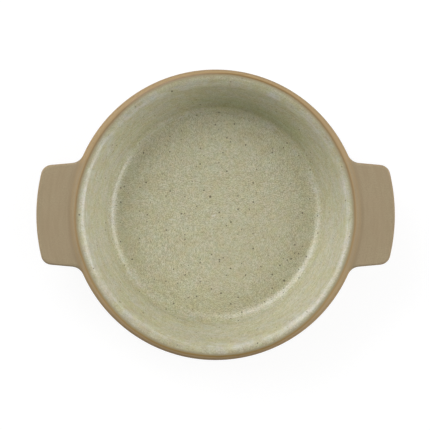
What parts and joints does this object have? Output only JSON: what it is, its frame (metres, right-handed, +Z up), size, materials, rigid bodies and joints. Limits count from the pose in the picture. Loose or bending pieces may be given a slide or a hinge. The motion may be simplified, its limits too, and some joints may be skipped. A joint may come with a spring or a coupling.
{
  "type": "au gratin dish",
  "caption": "Round shallow stoneware baking dish with sloping sides, a flat tab handle on each side, bare clay outside and a speckled sage glaze inside.",
  "frame": {"origin": "centre of the foot ring, on the surface that the dish stands on", "axes": "+Z up, +X towards the nose of one handle, the other handle along -X"},
  "size_m": [0.1974, 0.16, 0.04],
  "materials": {
    "stoneware": "matte bare clay outside, on the rim and on the handles, with a satin speckled sage glaze inside"
  },
  "bodies": {
    "root": {"gratin_dish": "stoneware"}
  },
  "joints": []
}
